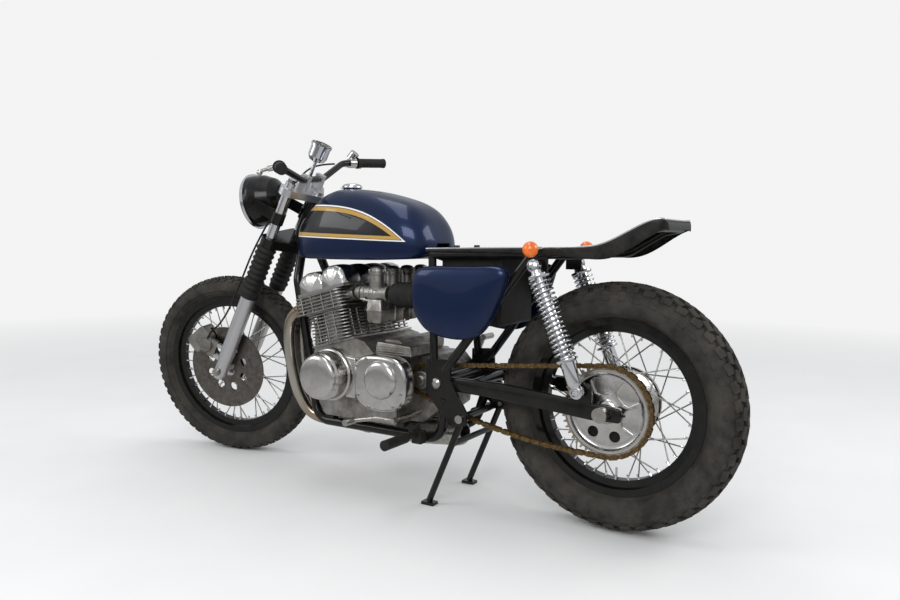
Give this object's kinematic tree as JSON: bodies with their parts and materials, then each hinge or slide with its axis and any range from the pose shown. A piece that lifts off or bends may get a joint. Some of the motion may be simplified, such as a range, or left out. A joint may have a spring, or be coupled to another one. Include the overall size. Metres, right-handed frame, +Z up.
{
  "type": "cafe racer motorcycle",
  "caption": "Cafe racer motorcycle with a finned air-cooled transverse engine, wire wheels, bare seat pan and centre stand.",
  "frame": {"origin": "on the floor, midway between the foremost and rearmost tread", "axes": "+X forward, +Y to the rider's left, +Z up"},
  "size_m": [2.1099, 0.7308, 1.1186],
  "materials": {
    "blue_paint": "metallic gloss",
    "black_paint": "gloss",
    "bare_steel": "satin",
    "chrome": "mirror",
    "alloy": "cast",
    "header_steel": "heat tinted",
    "chain_steel": "oiled",
    "tyre_rubber": "matt",
    "soft_rubber": "matt",
    "orange_lens": "gloss",
    "lamp_glass": "clear"
  },
  "bodies": {
    "chassis": {"frame": "black_paint", "seat_pan": "bare_steel", "fuel_tank": "blue_paint", "side_covers": "blue_paint", "battery_box": "black_paint", "crankcase": "alloy", "cylinder_block": "alloy", "cylinder_head": "alloy", "cam_cover": "alloy", "left_engine_covers": "alloy", "right_engine_covers": "alloy", "oil_filter": "alloy", "carburettors": "alloy", "pod_filters": "soft_rubber", "exhaust_headers": "header_steel", "silencer": "bare_steel", "front_sprocket": "bare_steel", "chain": "chain_steel", "swingarm": "black_paint", "frame_bolts": "bare_steel", "rear_axle": "bare_steel", "rear_brake_plate": "alloy", "shock_dampers": "chrome", "shock_springs": "chrome", "footpegs": "black_paint", "foot_levers": "bare_steel", "rear_indicators": "orange_lens"},
    "steering": {"lower_clamp": "black_paint", "upper_clamp": "alloy", "fork_tubes": "chrome", "fork_gaiters": "soft_rubber", "fork_sliders": "alloy", "front_axle": "bare_steel", "caliper": "alloy", "handlebar": "black_paint", "grips": "soft_rubber", "levers": "alloy", "gauge": "chrome", "headlamp_bucket": "black_paint", "headlamp_ring": "chrome", "headlamp_lens": "lamp_glass", "headlamp_brackets": "black_paint", "brake_hose": "soft_rubber"},
    "front_wheel": {"front_tyre": "tyre_rubber", "front_rim": "black_paint", "front_spokes": "bare_steel", "front_hub": "alloy", "front_disc": "bare_steel"},
    "rear_wheel": {"rear_tyre": "tyre_rubber", "rear_rim": "black_paint", "rear_spokes": "bare_steel", "rear_hub": "alloy", "cush_drive": "alloy", "rear_sprocket": "bare_steel"},
    "centre_stand": {"centre_stand": "black_paint"},
    "fuel_cap": {"fuel_cap": "chrome"}
  },
  "joints": [
    {"name": "steer", "type": "hinge", "parent": "chassis", "child": "steering", "pos_m": [0.40373, 0, 0.8295], "axis": [-0.4617, 0, 0.887], "range_deg": [-51, 22]},
    {"name": "front_spin", "type": "hinge", "parent": "steering", "child": "front_wheel", "pos_m": [0.73237, 0.01472, 0.32415], "axis": [-0.2176, 0.9694, -0.1133], "continuous": true},
    {"name": "rear_spin", "type": "hinge", "parent": "chassis", "child": "rear_wheel", "pos_m": [-0.721, 0, 0.343], "axis": [0, 1, 0], "continuous": true},
    {"name": "stand_fold", "type": "hinge", "parent": "chassis", "child": "centre_stand", "pos_m": [-0.3, 0, 0.276], "axis": [0, 1, 0], "range_deg": [0, 85]},
    {"name": "cap_lift", "type": "hinge", "parent": "chassis", "child": "fuel_cap", "pos_m": [0.241, 0, 0.954], "axis": [0, 1, 0], "range_deg": [0, 90]}
  ]
}
